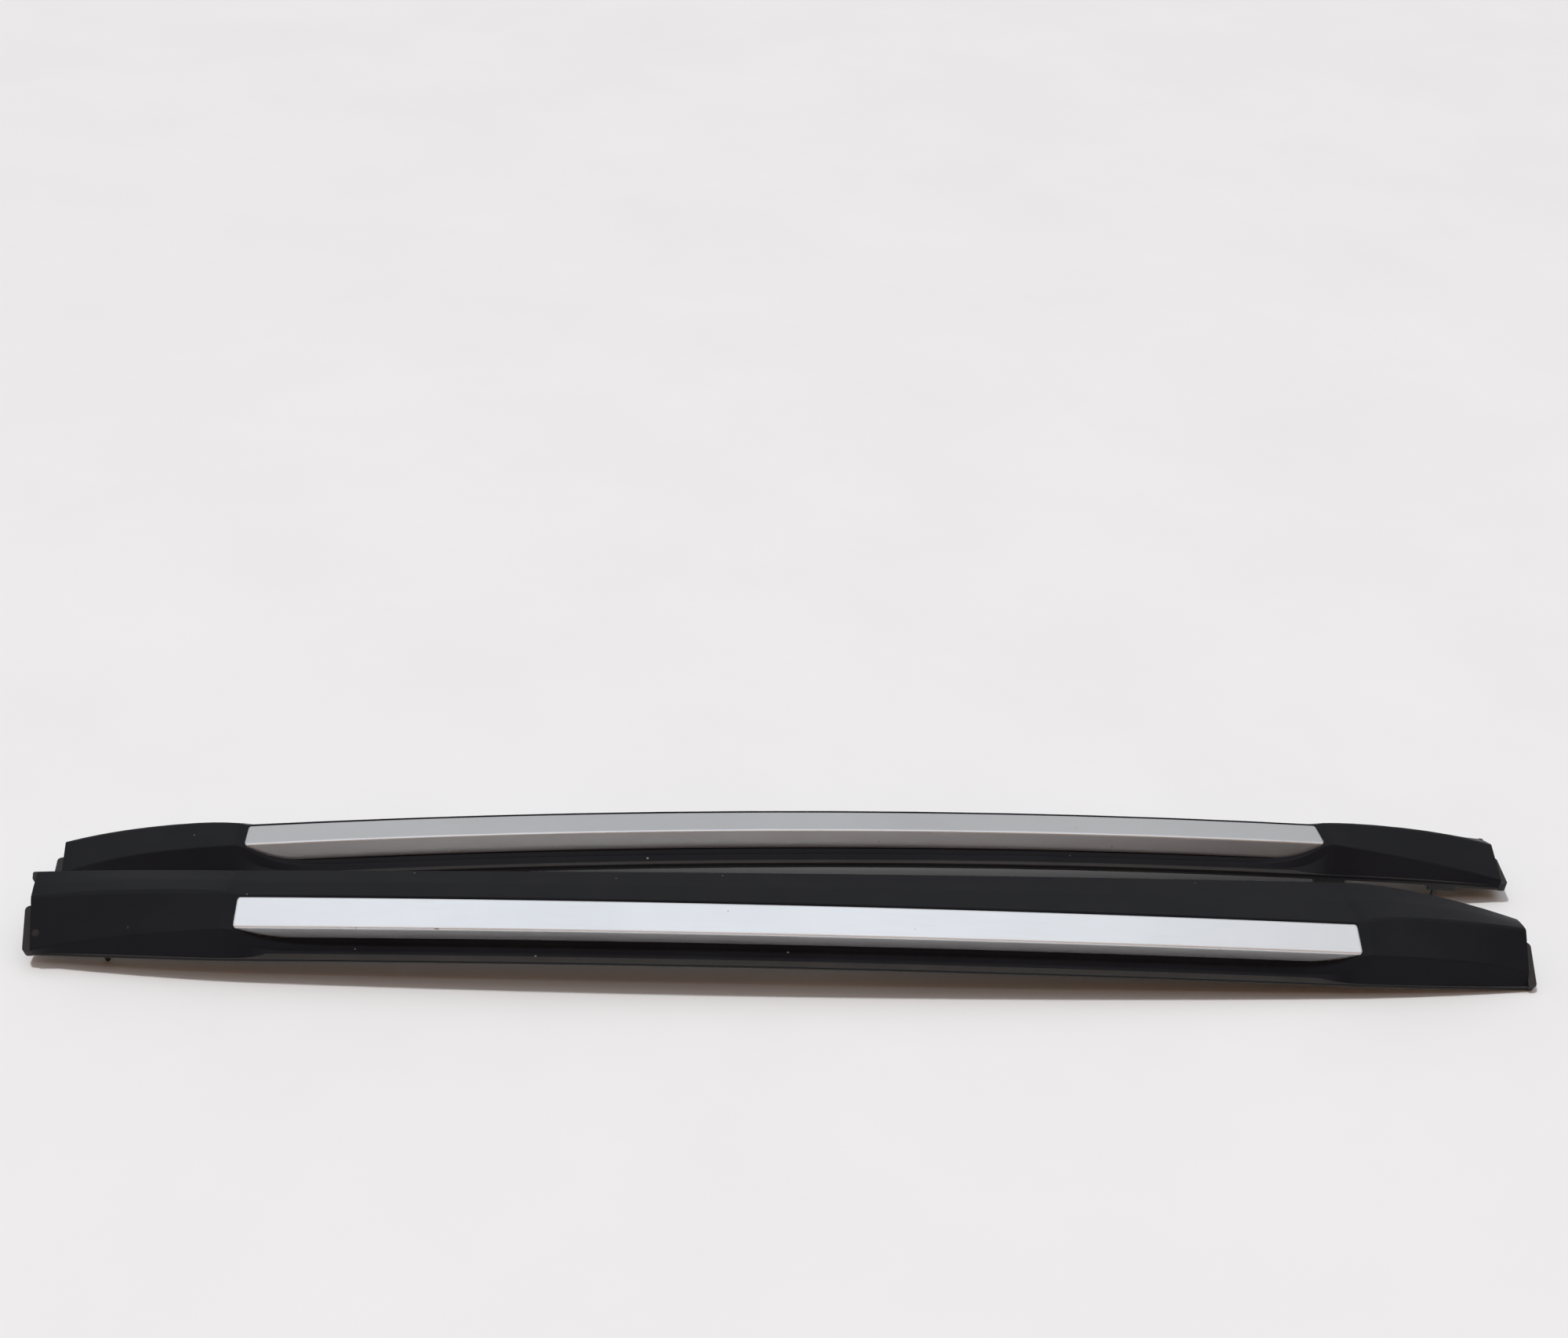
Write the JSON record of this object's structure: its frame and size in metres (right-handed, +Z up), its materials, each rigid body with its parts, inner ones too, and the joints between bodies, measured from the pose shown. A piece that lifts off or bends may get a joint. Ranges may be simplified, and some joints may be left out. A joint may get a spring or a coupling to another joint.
{
  "type": "roof side rail pair",
  "caption": "Pair of arched car roof side rails, each a silver aluminium bar set into a black moulding with flared feet, seals and fixings underneath.",
  "frame": {"origin": "on the floor under the middle of the pair's bounding box", "axes": "+X along the rails towards the left rail's rear end, +Y from the left rail to the right one, +Z up"},
  "size_m": [1.533, 0.2706, 0.0909],
  "materials": {
    "black_moulding": "satin",
    "silver_bar": "satin anodised",
    "gasket_rubber": "matte",
    "bracket_steel": "zinc plated",
    "stud_steel": "zinc plated",
    "seal_rubber": "matte",
    "screw_steel": "zinc plated",
    "pin_bracket_plastic": "matte",
    "pin_steel": "plain",
    "pad_foam": "foam"
  },
  "bodies": {
    "root": {"left_base_moulding": "black_moulding", "left_silver_bar": "silver_bar", "left_base_gasket": "gasket_rubber", "left_front_bracket": "bracket_steel", "left_rear_bracket": "bracket_steel", "left_centre_bracket": "bracket_steel", "left_roof_studs": "stud_steel", "left_stud_seals": "seal_rubber", "left_bracket_screws": "screw_steel", "left_bar_screws": "screw_steel", "left_pin_brackets": "pin_bracket_plastic", "left_locating_pins": "pin_steel", "left_foam_pad": "pad_foam", "right_base_moulding": "black_moulding", "right_silver_bar": "silver_bar", "right_base_gasket": "gasket_rubber", "right_front_bracket": "bracket_steel", "right_rear_bracket": "bracket_steel", "right_centre_bracket": "bracket_steel", "right_roof_studs": "stud_steel", "right_stud_seals": "seal_rubber", "right_bracket_screws": "screw_steel", "right_bar_screws": "screw_steel", "right_pin_brackets": "pin_bracket_plastic", "right_locating_pins": "pin_steel", "right_foam_pad": "pad_foam"}
  },
  "joints": []
}
